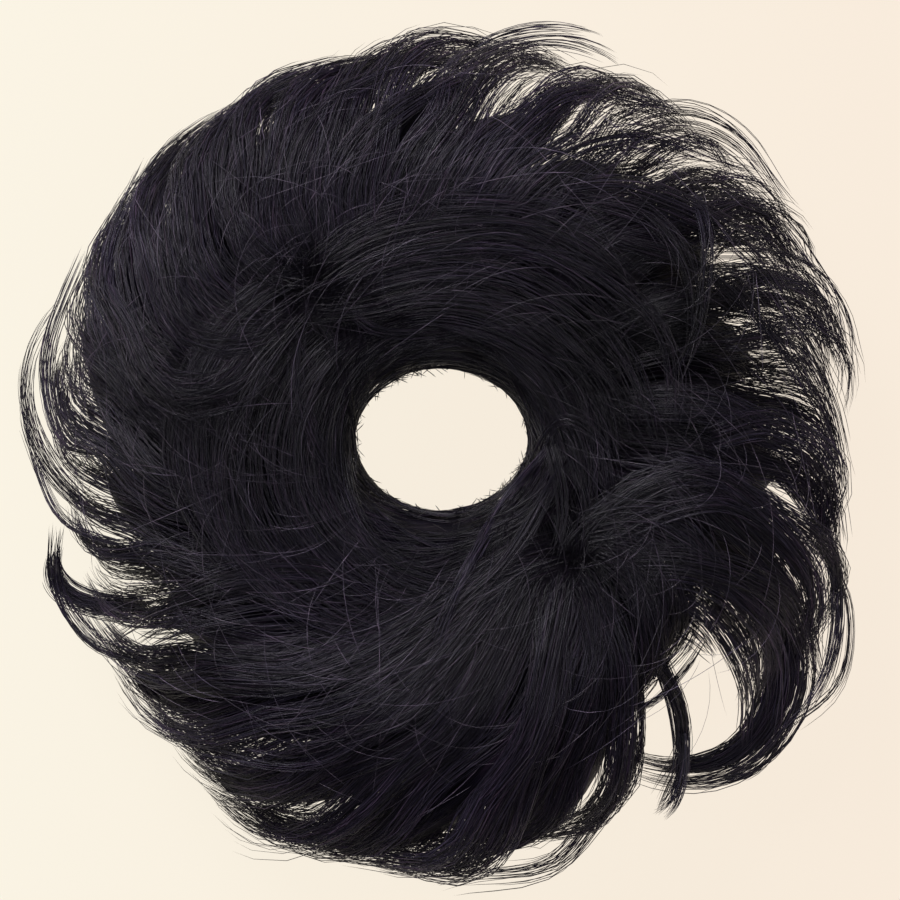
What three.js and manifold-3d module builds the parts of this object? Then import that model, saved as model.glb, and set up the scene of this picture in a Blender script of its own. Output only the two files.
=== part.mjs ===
// A top knot hairpiece that lies flat: an elastic band, hair wound round the band, and a ring of curved
// tufts rooted in that winding. Seen from above, each tuft leaves its root outwards and bends clockwise.
// Lengths are millimetres, angles are degrees counter-clockwise from +X, and +Z is up.
import * as THREE from 'three';
import { mergeVertices } from 'three/addons/utils/BufferGeometryUtils.js';
import Module from 'manifold-3d';

// Driving sizes
const hairReach = 84; // from the ring's axis to the end of an average tuft
const pileHeight = 42; // from the surface it lies on to the crown of the fullest tuft
const holeWidth = 34; // across the hole that the hair lines, along X
const holeDepth = 27.6; // across the same hole, along Y
const bandThickness = 4.5; // the elastic band
const wrapWidth = 17; // the winding, from the hole to the tufts' roots
const wrapHeight = 31; // the winding, from its underside to its crown
const wrapFloor = 2.5; // how far the winding's underside lies above the surface
const wrapRidge = 0.5; // how far the wound strands stand out of the winding
const slitWidth = 1.6; // the seam under the winding, where the band shows
const seatGap = 0.3; // between the band, the winding and the roots
const tuftGap = 1.2; // along the ring, between one tuft and the next
const lean = 16; // how far round the ring a tuft leans from its underside to its crown
const hairColour = 0x221e26;
const bandColour = 0x151316;

// One row for each tuft, clockwise. `at` and `sweep` are its leading edge: the angle at the root, and how
// far round it has bent at hairReach, sooner with a small `ease`. `reach` is a share of hairReach, `notch`
// is how much shorter it is at its edges, `taper` is how much of its width it has lost at its end, and
// `crown` and `tip` are the heights of its fullest place and of its end as shares of pileHeight.
const tufts = [
  { at: 262, sweep: 60, ease: 1.2, reach: 0.96, notch: 0.05, taper: 0.1, crown: 0.9, tip: 0.34 },
  { at: 228, sweep: 44, ease: 1.1, reach: 0.9, notch: 0.07, taper: 0.05, crown: 0.86, tip: 0.36 },
  { at: 202, sweep: 38, ease: 1.5, reach: 0.97, notch: 0.06, taper: 0, crown: 0.94, tip: 0.32 },
  { at: 180, sweep: 36, ease: 2.0, reach: 1.0, notch: 0.04, taper: 0, crown: 1.0, tip: 0.36 },
  { at: 158, sweep: 34, ease: 2.6, reach: 1.0, notch: 0.03, taper: 0, crown: 0.97, tip: 0.38 },
  { at: 138, sweep: 33, ease: 2.8, reach: 0.99, notch: 0.03, taper: 0, crown: 0.95, tip: 0.36 },
  { at: 119, sweep: 34, ease: 2.6, reach: 0.96, notch: 0.05, taper: 0, crown: 0.9, tip: 0.34 },
  { at: 100, sweep: 34, ease: 2.4, reach: 0.97, notch: 0.05, taper: 0, crown: 0.96, tip: 0.36 },
  { at: 80, sweep: 30, ease: 2.2, reach: 0.97, notch: 0.07, taper: 0.05, crown: 0.9, tip: 0.34 },
  { at: 58, sweep: 26, ease: 2.2, reach: 0.98, notch: 0.05, taper: 0, crown: 0.92, tip: 0.32 },
  { at: 36, sweep: 21, ease: 2.0, reach: 0.97, notch: 0.08, taper: 0, crown: 0.88, tip: 0.36 },
  { at: 14, sweep: 17, ease: 1.6, reach: 0.98, notch: 0.07, taper: 0, crown: 0.86, tip: 0.34 },
  { at: -6, sweep: 15, ease: 1.6, reach: 0.96, notch: 0.05, taper: 0.1, crown: 0.92, tip: 0.34 },
  { at: -24, sweep: 13, ease: 1.5, reach: 0.76, notch: 0.1, taper: 0.1, crown: 0.82, tip: 0.36 },
  { at: -38, sweep: 28, ease: 0.8, reach: 1.05, notch: 0.05, taper: 0, crown: 0.96, tip: 0.34 },
  { at: -52, sweep: 36, ease: 0.8, reach: 1.08, notch: 0.04, taper: 0, crown: 1.0, tip: 0.32 },
  { at: -66, sweep: 42, ease: 0.9, reach: 1.04, notch: 0.06, taper: 0, crown: 0.98, tip: 0.3 },
  { at: -80, sweep: 50, ease: 1.0, reach: 0.98, notch: 0.08, taper: 0.05, crown: 0.94, tip: 0.32 },
];

// Loose curls, each fused to the tuft it grows from. `from` and `sweep` are its angles, `start`, `crest`
// and `end` its distances from the axis as shares of hairReach, `low` and `high` the heights of its two
// ends as shares of pileHeight, and `thick` its thickness at the root as a share of pileHeight.
const curls = [
  { tuft: 1, from: 207, sweep: 11, start: 0.9, crest: 0.98, end: 0.96, low: 0.3, high: 0.34, thick: 0.16 },
  { tuft: 2, from: 196, sweep: 35, start: 0.76, crest: 0.98, end: 0.98, low: 0.4, high: 0.4, thick: 0.12 },
  { tuft: 7, from: 94, sweep: 28, start: 0.8, crest: 0.97, end: 1.01, low: 0.4, high: 0.42, thick: 0.12 },
  { tuft: 12, from: -7, sweep: 32, start: 0.84, crest: 1.03, end: 1.08, low: 0.45, high: 0.55, thick: 0.11 },
  { tuft: 13, from: -26, sweep: 33, start: 0.86, crest: 1.07, end: 0.93, low: 0.34, high: 0.2, thick: 0.3 },
  { tuft: 14, from: -44, sweep: 18, start: 0.62, crest: 0.9, end: 1.04, low: 0.5, high: 0.6, thick: 0.14 },
];

const wasm = await Module();
wasm.setup();

const radians = THREE.MathUtils.degToRad;
const lerp = THREE.MathUtils.lerp;

function polar(angle, radius, height) {
  const turn = radians(angle);
  return new THREE.Vector3(radius * Math.cos(turn), radius * Math.sin(turn), height);
}

// The geometry through a row of like sections: closed on itself, or with its two ends capped.
function loft(sections, closed) {
  const size = sections[0].length;
  const positions = sections.flat().flatMap((p) => p.toArray());
  const index = [];
  const steps = closed ? sections.length : sections.length - 1;
  for (let row = 0; row < steps; row++) {
    const here = row * size;
    const next = ((row + 1) % sections.length) * size;
    for (let i = 0; i < size; i++) {
      const j = (i + 1) % size;
      index.push(here + i, here + j, next + j, here + i, next + j, next + i);
    }
  }
  // An end is closed by strips from one half of its section to the other half.
  for (let i = 0; i < size / 2 - 1 && !closed; i++) {
    const strip = [i, i + 1, size - 2 - i, size - 1 - i];
    const [a, b, c, d] = strip;
    index.push(a, c, b, a, d, c);
    const [e, f, g, h] = strip.map((corner) => (sections.length - 1) * size + corner);
    index.push(e, f, g, e, g, h);
  }
  const geometry = new THREE.BufferGeometry();
  geometry.setAttribute('position', new THREE.Float32BufferAttribute(positions, 3));
  geometry.setIndex(index);
  return geometry;
}

function toSolid(geometry) {
  const merged = mergeVertices(geometry);
  return new wasm.Manifold(
    new wasm.Mesh({
      numProp: 3,
      vertProperties: merged.getAttribute('position').array,
      triVerts: new Uint32Array(merged.index.array),
    }),
  );
}

function toGeometry(solid) {
  const mesh = solid.getMesh();
  const geometry = new THREE.BufferGeometry();
  geometry.setAttribute('position', new THREE.BufferAttribute(mesh.vertProperties, 3));
  geometry.setIndex(new THREE.BufferAttribute(mesh.triVerts, 1));
  return geometry;
}

// The oval hole, and what stands round it
function holeRadius(angle) {
  const turn = radians(angle);
  const across = holeWidth / 2;
  const along = holeDepth / 2;
  return (across * along) / Math.hypot(along * Math.cos(turn), across * Math.sin(turn));
}

const rootRadius = (angle) => holeRadius(angle) + wrapWidth + wrapRidge / 2 + seatGap;
const wrapMiddle = wrapFloor + wrapHeight / 2;
const bandHeight = wrapMiddle; // the band runs through the middle of the winding

// A solid that follows the oval ring, from its section as [outwards, up] pairs about the winding's middle.
function ringSolid(sectionAt) {
  const ringSteps = 48;
  const sections = [];
  for (let step = 0; step < ringSteps; step++) {
    const angle = (360 * step) / ringSteps;
    const middle = holeRadius(angle) + wrapWidth / 2;
    sections.push(sectionAt(angle).map(([out, up]) => polar(angle, middle + out, bandHeight + up)));
  }
  return loft(sections, true);
}

function arc(points, from, to, radiusAt) {
  const found = [];
  for (let i = 0; i < points; i++) {
    const turn = lerp(from, to, i / (points - 1));
    const [across, up] = radiusAt(turn);
    found.push([across * Math.cos(radians(turn)), up * Math.sin(radians(turn))]);
  }
  return found;
}

function elasticBand() {
  const sides = 7;
  const radius = bandThickness / 2;
  const section = arc(sides + 1, 360, 0, () => [radius, radius]).slice(1);
  return ringSolid(() => section);
}

// The winding is open along a seam underneath, so its section is a C round the band.
function innerWrap() {
  const ridges = 14;
  const channel = bandThickness / 2 + seatGap;
  const half = wrapWidth / 2 - wrapRidge / 2;
  const rise = wrapHeight / 2;
  const outerSlit = (Math.asin(slitWidth / 2 / half) * 180) / Math.PI;
  const innerSlit = (Math.asin(slitWidth / 2 / channel) * 180) / Math.PI;
  return ringSolid((angle) => {
    const strand = (turn) => (wrapRidge / 2) * Math.cos(radians(ridges * angle + 2 * turn));
    const outside = arc(14, 270 - outerSlit, -90 + outerSlit, (turn) => [
      half + strand(turn),
      rise + strand(turn),
    ]);
    const inside = arc(7, -90 + innerSlit, 270 - innerSlit, () => [channel, channel]);
    return [...outside, ...inside];
  });
}

// The angle of a tuft's leading edge at a distance from the axis
const bendStart = Math.max(holeWidth, holeDepth) / 2 + wrapWidth + wrapRidge + seatGap;
function edgeAngle(edge, radius) {
  const share = Math.max(0, radius - bendStart) / (hairReach - bendStart);
  return edge.at - edge.sweep * share ** edge.ease;
}

const tuftRows = [0, 0.09, 0.2, 0.32, 0.45, 0.58, 0.7, 0.81, 0.91, 1];
const tuftColumns = [0, 0.1, 0.22, 0.34, 0.5, 0.66, 0.78, 0.9, 1];
const lockGrooves = [0.34, 0.66]; // the columns where one lock of a tuft meets the next
const grooveDepth = 0.09; // as a share of the tuft's thickness there
const rootCrown = 0.74; // heights as shares of pileHeight
const rootFloor = 0.12;
const crownPlace = 0.42; // where along its length a tuft is fullest
const liftPlace = 0.6; // where its underside leaves the surface
const edgeThickness = 0.42; // at a tuft's two edges, as a share of its middle

function crownHeight(row, along) {
  const [from, to, share] =
    along < crownPlace
      ? [rootCrown, row.crown, along / crownPlace]
      : [row.crown, row.tip, ((along - crownPlace) / (1 - crownPlace)) ** 1.8];
  return pileHeight * (from + (to - from) * (along < crownPlace ? Math.sin((share * Math.PI) / 2) : share));
}

function floorHeight(row, along) {
  const tipFloor = row.tip * 0.55;
  if (along < crownPlace / 2) return pileHeight * rootFloor * (1 - along / (crownPlace / 2));
  if (along < liftPlace) return 0;
  return pileHeight * tipFloor * ((along - liftPlace) / (1 - liftPlace)) ** 1.6;
}

function tuftSolid(number) {
  const row = tufts[number];
  const next = tufts[(number + 1) % tufts.length];
  const turnOver = number + 1 === tufts.length ? 360 : 0;
  const place = (along, across, height) => {
    const leaning = lean * (height / pileHeight - 0.5);
    const rootAngle = lerp(row.at, next.at - turnOver, across) + leaning;
    const root = rootRadius(rootAngle);
    const lobe = 1 - row.notch * (2 * across - 1) ** 2;
    const radius = root + (hairReach * row.reach * lobe - root) * along;
    const narrowed = 0.5 + (across - 0.5) * (1 - row.taper * along ** 2);
    const gap = ((tuftGap / 2 / radius) * 180) / Math.PI;
    const lead = edgeAngle(row, radius) - gap;
    const trail = edgeAngle(next, radius) - turnOver + gap;
    return polar(lerp(lead, trail, narrowed) + leaning, radius, height);
  };
  const sections = tuftRows.map((along) => {
    const top = crownHeight(row, along);
    const bottom = floorHeight(row, along);
    const middle = (top + bottom) / 2;
    const groove = (across) => (lockGrooves.includes(across) ? grooveDepth : 0);
    const full = (across) => 1 - (1 - edgeThickness) * Math.abs(2 * across - 1) ** 2.2 - groove(across);
    const over = tuftColumns.map((across) => place(along, across, middle + (top - middle) * full(across)));
    const flatness = bottom > 0 ? 1 : 1.25; // an underside that lies on the surface is pressed flat
    const under = tuftColumns.map((across) =>
      place(along, across, Math.max(bottom, middle - (middle - bottom) * flatness * full(across))),
    );
    return [...over, ...under.reverse()];
  });
  return loft(sections, false);
}

function curlSolid(row) {
  const steps = 12;
  const sides = 8;
  const centre = (share) => {
    const rise = 4 * share * (1 - share);
    const radius = lerp(row.start, row.end, share) + (row.crest - (row.start + row.end) / 2) * rise;
    return polar(row.from - row.sweep * share, hairReach * radius, pileHeight * lerp(row.low, row.high, share));
  };
  const sections = [];
  for (let step = 0; step <= steps; step++) {
    const share = step / steps;
    const here = centre(share);
    const along = centre(share + 0.01).sub(centre(share - 0.01)).normalize();
    const side = new THREE.Vector3().crossVectors(along, new THREE.Vector3(0, 0, 1)).normalize();
    const up = new THREE.Vector3().crossVectors(side, along);
    const radius = (pileHeight * row.thick * (1 - 0.75 * share ** 1.5)) / 2;
    const section = [];
    for (let i = 0; i < sides; i++) {
      const turn = (-2 * Math.PI * i) / sides;
      section.push(
        here.clone().addScaledVector(side, radius * Math.cos(turn)).addScaledVector(up, radius * Math.sin(turn)),
      );
    }
    sections.push(section);
  }
  return loft(sections, false);
}

function tuftWithCurls(number) {
  const own = curls.filter((row) => row.tuft === number + 1);
  if (!own.length) return tuftSolid(number);
  return toGeometry(own.reduce((solid, row) => solid.add(toSolid(curlSolid(row))), toSolid(tuftSolid(number))));
}

const hair = () => new THREE.MeshStandardMaterial({ color: hairColour, roughness: 0.42, metalness: 0 });
const elastic = () => new THREE.MeshStandardMaterial({ color: bandColour, roughness: 0.85, metalness: 0 });

const hairpiece = new THREE.Group();

function addPiece(name, geometry, material) {
  geometry.computeVertexNormals();
  const mesh = new THREE.Mesh(geometry, material);
  mesh.name = name;
  hairpiece.add(mesh);
}

addPiece('elastic_band', elasticBand(), elastic());
addPiece('inner_wrap', innerWrap(), hair());
tufts.forEach((_, number) => {
  addPiece(`tuft_${String(number + 1).padStart(2, '0')}`, tuftWithCurls(number), hair());
});

// The origin is the middle of the underside of the whole piece.
const bounds = new THREE.Box3().setFromObject(hairpiece);
const middle = bounds.getCenter(new THREE.Vector3());
hairpiece.position.set(-middle.x, -middle.y, -bounds.min.z);

export default hairpiece;
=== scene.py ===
import bmesh
import bpy
import mathutils
import numpy as np
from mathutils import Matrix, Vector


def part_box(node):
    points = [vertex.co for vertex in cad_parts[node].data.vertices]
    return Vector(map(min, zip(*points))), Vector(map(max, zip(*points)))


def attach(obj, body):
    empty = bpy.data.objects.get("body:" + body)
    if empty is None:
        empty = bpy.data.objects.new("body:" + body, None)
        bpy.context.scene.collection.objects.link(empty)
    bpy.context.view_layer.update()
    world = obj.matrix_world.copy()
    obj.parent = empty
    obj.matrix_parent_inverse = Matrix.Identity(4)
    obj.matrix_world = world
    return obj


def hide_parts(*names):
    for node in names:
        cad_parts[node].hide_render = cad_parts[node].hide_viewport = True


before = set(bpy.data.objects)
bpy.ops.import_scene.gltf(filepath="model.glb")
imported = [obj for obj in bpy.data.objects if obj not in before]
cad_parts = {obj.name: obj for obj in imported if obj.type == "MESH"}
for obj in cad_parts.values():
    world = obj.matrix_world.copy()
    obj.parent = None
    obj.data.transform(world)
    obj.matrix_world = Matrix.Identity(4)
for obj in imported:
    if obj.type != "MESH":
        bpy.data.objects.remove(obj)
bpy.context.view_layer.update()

# The studio: a pale, plain surface under soft light, with a camera straight above the hairpiece, as the
# photograph has it. The surface has a soft glow of its own, which keeps it pale round the dark hair.
PHOTO_SIDE = 0.180  # metres across the picture at the middle of the hair
CAMERA_HEIGHT = 1.30
CAMERA_AT = (0.0036, 0.0006)  # so that the hairpiece lies off the picture's middle as it does in the photo
HAIR_MIDDLE = 0.022  # metres from the surface
FLOOR_HALF = 4.0
PAPER = {"left": (250, 243, 227), "right": (248, 235, 219), "shade": (56, 55, 53), "glow": 0.965}
DAYLIGHT = {"color": (0.93, 0.92, 1.0, 1.0), "strength": 0.12}
LAMP_COLOUR = (0.97, 0.94, 1.0)


def table(columns, *rows):
    """The rows as dictionaries, by the names of their columns."""
    return [dict(zip(columns.split(), row)) for row in rows]


def linear(red, green, blue):
    """An sRGB colour in 0 to 255 as Blender's linear colour."""
    shares = [channel / 255 for channel in (red, green, blue)]
    return tuple(s / 12.92 if s <= 0.04045 else ((s + 0.055) / 1.055) ** 2.4 for s in shares) + (1.0,)


def set_inputs(node, values):
    for name, value in values.items():
        node.inputs[name.replace("_", " ")].default_value = value


def added(tree, kind, settings=None, **values):
    """A new shader node with its settings, and the values of its inputs by their names."""
    node = tree.nodes.new(kind)
    for name, value in (settings or {}).items():
        setattr(node, name, value)
    set_inputs(node, values)
    return node


def linked(tree, *wires):
    """Links nodes: a wire is a node, its output, the next node and its input."""
    for start, output, end, into in wires:
        tree.links.new(start.outputs[output], end.inputs[into])


def material(name, **values):
    """A new material with its node tree, and its shader with the values of its inputs by their names."""
    made = bpy.data.materials.new(name)
    made.use_nodes = True
    surface = made.node_tree.nodes["Principled BSDF"]
    set_inputs(surface, values)
    return made, made.node_tree, surface


camera = bpy.data.objects.new("camera", bpy.data.cameras.new("camera"))
camera.location = (*CAMERA_AT, CAMERA_HEIGHT)
camera.data.lens = camera.data.sensor_width * (CAMERA_HEIGHT - HAIR_MIDDLE) / PHOTO_SIDE
camera.data.clip_start = 0.01
bpy.context.scene.collection.objects.link(camera)
bpy.context.scene.camera = camera
bpy.context.scene.view_settings.view_transform = "Standard"

floor_mesh = bpy.data.meshes.new("floor")
shape = bmesh.new()
bmesh.ops.create_grid(shape, x_segments=1, y_segments=1, size=FLOOR_HALF)
shape.to_mesh(floor_mesh)
shape.free()
floor = bpy.data.objects.new("floor", floor_mesh)
bpy.context.scene.collection.objects.link(floor)
paper, tree, surface = material("pale_paper", Roughness=0.9, Specular_IOR_Level=0.1)
surface.inputs["Base Color"].default_value = linear(*PAPER["shade"])
surface.inputs["Emission Strength"].default_value = PAPER["glow"]
place = added(tree, "ShaderNodeTexCoord")
split = added(tree, "ShaderNodeSeparateXYZ")
across = added(tree, "ShaderNodeMapRange", From_Min=-PHOTO_SIDE / 2, From_Max=PHOTO_SIDE / 2)
tint = added(
    tree, "ShaderNodeMix", {"data_type": "RGBA"}, A=linear(*PAPER["left"]), B=linear(*PAPER["right"])
)
linked(
    tree,
    (place, "Object", split, 0),
    (split, "X", across, "Value"),
    (across, "Result", tint, "Factor"),
    (tint, "Result", surface, "Emission Color"),
)
floor_mesh.materials.append(paper)

world = bpy.data.worlds.new("studio")
world.use_nodes = True
world.node_tree.nodes["Background"].inputs["Color"].default_value = DAYLIGHT["color"]
world.node_tree.nodes["Background"].inputs["Strength"].default_value = DAYLIGHT["strength"]
bpy.context.scene.world = world

# One row for each lamp: where it stands, its side in metres and its power in watts. All face the hair.
LAMPS = table(
    "name at side power",
    ("lamp_above", (0.0, 0.0, 1.25), 0.3, 3.0),
    ("lamp_upper_left", (-0.5, 0.85, 0.75), 0.5, 14.0),
    ("lamp_right", (0.9, 0.1, 0.7), 0.7, 1.4),
)
for row in LAMPS:
    lamp = bpy.data.objects.new(row["name"], bpy.data.lights.new(row["name"], "AREA"))
    lamp.data.size = row["side"]
    lamp.data.energy = row["power"]
    lamp.data.color = LAMP_COLOUR
    lamp.location = row["at"]
    lamp.rotation_euler = (-lamp.location).to_track_quat("-Z", "Y").to_euler()
    bpy.context.scene.collection.objects.link(lamp)

# The elastic band: a cord of rubber threads in a knitted cover, joined end to end. The hair is wound round
# it, so only the seam underneath lets it be seen. It keeps its CAD form and gets the cover's fine ribs.
RING_MIDDLE = (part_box("elastic_band")[0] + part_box("elastic_band")[1]) / 2
RIBS = 150  # round the band
cover, tree, surface = material("knitted_cover", Roughness=0.8)
place = added(tree, "ShaderNodeTexCoord")
centre = added(tree, "ShaderNodeMapping", Location=-RING_MIDDLE)
split = added(tree, "ShaderNodeSeparateXYZ")
turn = added(tree, "ShaderNodeMath", {"operation": "ARCTAN2"})
count = added(tree, "ShaderNodeMath", {"operation": "MULTIPLY"})
count.inputs[1].default_value = RIBS
rib = added(tree, "ShaderNodeMath", {"operation": "SINE"})
# The cover is coloured by its ribs' height, darker in the grooves between them: painted shade.
rib_shade_and_height = added(tree, "ShaderNodeMapRange", From_Min=-1)
shades = added(
    tree, "ShaderNodeMix", {"data_type": "RGBA"}, A=linear(16, 15, 17), B=linear(36, 33, 38)
)
relief = added(tree, "ShaderNodeBump", Distance=0.0003)
linked(
    tree,
    (place, "Object", centre, "Vector"),
    (centre, "Vector", split, 0),
    (split, "Y", turn, 0),
    (split, "X", turn, 1),
    (turn, 0, count, 0),
    (count, 0, rib, 0),
    (rib, 0, rib_shade_and_height, "Value"),
    (rib_shade_and_height, "Result", shades, "Factor"),
    (shades, "Result", surface, "Base Color"),
    (rib_shade_and_height, "Result", relief, "Height"),
    (relief, "Normal", surface, "Normal"),
)
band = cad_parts["elastic_band"]
band.data.materials.clear()
band.data.materials.append(cover)

# The winding: hair wound round the band in a long spiral, whose strands line the hole and run on into the
# tufts. Under the loose strands lies a dense packed roll in the CAD form. Every strand is a closed, pointed
# fibre of three sides. Lengths in this and the next sections are millimetres from the ring's axis.
MILLIMETRE = 0.001
CENTRE = np.array([RING_MIDDLE.x, RING_MIDDLE.y, 0.0])
FIBRE = (0.11, 0.21)  # the thickness of the finest fibre and of the thickest
LOWEST = 0.3  # from the surface to the lowest fibres
PALETTE = {"dark": linear(4, 3, 7), "light": linear(41, 37, 52), "warm": linear(58, 42, 57)}


def fibre_grain():
    """A group that gives a fibre's tone, gloss and relief from its map: X runs along it, Y is its row."""
    group = bpy.data.node_groups.new("fibre_grain", "ShaderNodeTree")
    for name, kind, value in (
        ("Map", "NodeSocketVector", None),
        ("Rows", "NodeSocketFloat", 400.0),
        ("Tone", "NodeSocketFloat", 1.0),
        ("Dark", "NodeSocketColor", PALETTE["dark"]),
        ("Light", "NodeSocketColor", PALETTE["light"]),
        ("Warm", "NodeSocketColor", PALETTE["warm"]),
    ):
        socket = group.interface.new_socket(name, in_out="INPUT", socket_type=kind)
        if value is not None:
            socket.default_value = value
    for name, kind in (("Color", "Color"), ("Roughness", "Float"), ("Height", "Float")):
        group.interface.new_socket(name, in_out="OUTPUT", socket_type="NodeSocket" + kind)
    given, out = group.nodes.new("NodeGroupInput"), group.nodes.new("NodeGroupOutput")
    # fine streaks: each row has its own, drawn out along the fibre
    split = added(group, "ShaderNodeSeparateXYZ")
    rows = added(group, "ShaderNodeMath", {"operation": "MULTIPLY"})
    slow = added(group, "ShaderNodeMath", {"operation": "MULTIPLY"})
    slow.inputs[1].default_value = 2.5
    streak_place = added(group, "ShaderNodeCombineXYZ")
    streak = added(group, "ShaderNodeTexNoise", Scale=1.0, Detail=2.0)
    tone = added(group, "ShaderNodeMapRange", From_Min=0.32, From_Max=0.72)
    body = added(group, "ShaderNodeMix", {"data_type": "RGBA"})
    # broad patches: whole locks that are warmer, paler or deeper than the next
    patch_place = added(group, "ShaderNodeVectorMath", {"operation": "MULTIPLY"})
    patch_place.inputs[1].default_value = (1.6, 26.0, 1.0)
    patch = added(group, "ShaderNodeTexNoise", Detail=1.0)
    warmth = added(group, "ShaderNodeMapRange", From_Min=0.5, From_Max=0.8, To_Max=0.55)
    dyed = added(group, "ShaderNodeMix", {"data_type": "RGBA"})
    depth = added(group, "ShaderNodeMapRange", From_Min=0.3, From_Max=0.7, To_Min=0.5, To_Max=1.55)
    lit = added(group, "ShaderNodeMath", {"operation": "MULTIPLY"})
    toned = added(group, "ShaderNodeVectorMath", {"operation": "SCALE"})
    gloss = added(group, "ShaderNodeMapRange", To_Min=0.46, To_Max=0.3)
    linked(
        group,
        (given, "Map", split, 0),
        (split, "Y", rows, 0),
        (given, "Rows", rows, 1),
        (split, "X", slow, 0),
        (slow, 0, streak_place, "X"),
        (rows, 0, streak_place, "Y"),
        (streak_place, 0, streak, "Vector"),
        (streak, "Fac", tone, "Value"),
        (tone, "Result", body, "Factor"),
        (given, "Dark", body, "A"),
        (given, "Light", body, "B"),
        (given, "Map", patch_place, 0),
        (patch_place, 0, patch, "Vector"),
        (patch, "Fac", warmth, "Value"),
        (warmth, "Result", dyed, "Factor"),
        (body, "Result", dyed, "A"),
        (given, "Warm", dyed, "B"),
        (patch, "Fac", depth, "Value"),
        (depth, "Result", lit, 0),
        (given, "Tone", lit, 1),
        (dyed, "Result", toned, 0),
        (lit, 0, toned, "Scale"),
        (tone, "Result", gloss, "Value"),
        (toned, 0, out, "Color"),
        (gloss, "Result", out, "Roughness"),
        (streak, "Fac", out, "Height"),
    )
    return group


GRAIN = fibre_grain()


def hair_material(name, rows, relief, shine, **tones):
    """Dark hair. `rows` is how many fibres lie across the piece's map, `relief` their depth in metres, and
    `shine` how strongly they reflect. The attribute `tone` makes a place paler or deeper: each lock's own
    tone, times painted highlight and painted shade."""
    made, tree, surface = material(name, Specular_IOR_Level=shine)
    place = added(tree, "ShaderNodeUVMap", {"uv_map": "OFBake"})
    grain = added(tree, "ShaderNodeGroup", {"node_tree": GRAIN}, Rows=rows, **tones)
    tone_of = added(tree, "ShaderNodeAttribute", {"attribute_name": "tone"})
    bump = added(tree, "ShaderNodeBump", Distance=relief)
    linked(
        tree,
        (place, "UV", grain, "Map"),
        (tone_of, "Fac", grain, "Tone"),
        (grain, "Color", surface, "Base Color"),
        (grain, "Roughness", surface, "Roughness"),
        (grain, "Height", bump, "Height"),
        (bump, "Normal", surface, "Normal"),
    )
    return made


HAIR = hair_material("dark_hair", 420.0, 0.0002, 0.4)
PACKED = hair_material("packed_hair", 1500.0, 0.0004, 0.05)

CORE_SHARE = 0.25  # of a piece's map, below its fibres' rows
CORE_ROWS = CORE_SHARE * 0.96  # so that a core's map ends short of the fibres'
STRAYS = {"share": 0.07, "times": 2.4}  # how many of a lock's fibres stray, and how much farther
WAVE_LENGTH = (28, 46)


def polar(angle, radius, height):
    """Points for arrays of degrees, distances from the axis, and heights."""
    turn = np.radians(angle)
    return np.stack([radius * np.cos(turn), radius * np.sin(turn), height + 0 * turn], -1)


def unit(vectors):
    """The vectors at a length of 1."""
    return vectors / np.maximum(np.linalg.norm(vectors, axis=-1, keepdims=True), 1e-9)


def along_guides(guide, places):
    """Points of a guide line at shares of its length, past its ends in a straight line."""
    last = len(guide) - 1
    at = places * last
    low = np.clip(np.floor(at).astype(int), 0, last - 1)
    part = (at - low)[..., None]
    return guide[low] * (1 - part) + guide[low + 1] * part


def lock(
    rng, guide, outward, count, width, thickness, points=11,
    root=0.7, tip=0.25, short=0.25, wave=0.5, stray=0.04,
):
    """Fibres that follow a guide line as one lock. It is flat, with its broad side facing outward, starts
    at `root` of its width and narrows to `tip`, and its fibres end one after another over the last `short`
    of its length. `wave` is how far it sways, and `stray` how far fibres part, as a share of the length."""
    steps = 1 - (1 - np.linspace(0, 1, points)) ** 1.25
    starts = rng.uniform(-0.02, 0.06, count)[:, None]
    ends = (1.02 - short * rng.random(count) ** 1.6)[:, None]
    places = starts + (ends - starts) * steps
    line = along_guides(guide, places)
    ahead = unit(along_guides(guide, places + 0.02) - along_guides(guide, places - 0.02))
    facing = along_guides(outward, np.clip(places, 0, 1))
    side = unit(np.cross(ahead, facing))
    rise = np.cross(side, ahead)
    spread = np.sqrt(rng.random(count))
    turn = rng.uniform(0, 2 * np.pi, count)
    twist = rng.uniform(-0.5, 0.5)
    turned = turn[:, None] + twist * places
    profile = (root + (1 - root) * np.sin(np.pi / 2 * np.clip(places / 0.5, 0, 1))) * (
        1 - (1 - tip) * np.clip(places, 0, 1.2) ** 2.2
    )
    length = np.linalg.norm(np.diff(guide, axis=0), axis=1).sum()
    waves = length / rng.uniform(*WAVE_LENGTH)
    phase = rng.uniform(0, 2 * np.pi)
    own_phase = phase + rng.normal(0, 0.35, count)[:, None]
    ripple = wave * np.sin(2 * np.pi * waves * places + own_phase) * np.clip(places * 1.5, 0, 1)
    loose = stray * np.where(rng.random(count) < STRAYS["share"], STRAYS["times"], 1.0)[:, None]
    drift = loose * rng.normal(0, 1, count)[:, None] * length * places**2
    lift = 0.5 * loose * rng.normal(0, 1, count)[:, None] * length * places**2
    over = spread[:, None] * width * profile * np.cos(turned) + ripple + drift
    up = spread[:, None] * thickness * profile * np.sin(turned) + 0.5 * ripple + np.abs(lift)
    return line + side * over[..., None] + rise * up[..., None]


def fibre_faces(points):
    """The corners of one fibre's faces, how many each face has, and the point along the fibre of each."""
    rings = points - 2
    last = 1 + (rings - 1) * 3
    faces, places = [], []
    for corner in range(3):
        after = (corner + 1) % 3
        for ring in range(rings - 1):
            a, b = 1 + ring * 3 + corner, 1 + ring * 3 + after
            faces.append((a, a + 3, b + 3, b))
            places.append((ring + 1, ring + 2, ring + 2, ring + 1))
        faces.append((0, 1 + corner, 1 + after))
        places.append((0, 1, 1))
        faces.append((last + 3, last + after, last + corner))
        places.append((points - 1, points - 2, points - 2))
    sizes = np.array([len(face) for face in faces])
    return np.concatenate(faces), sizes, np.concatenate(places)


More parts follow.
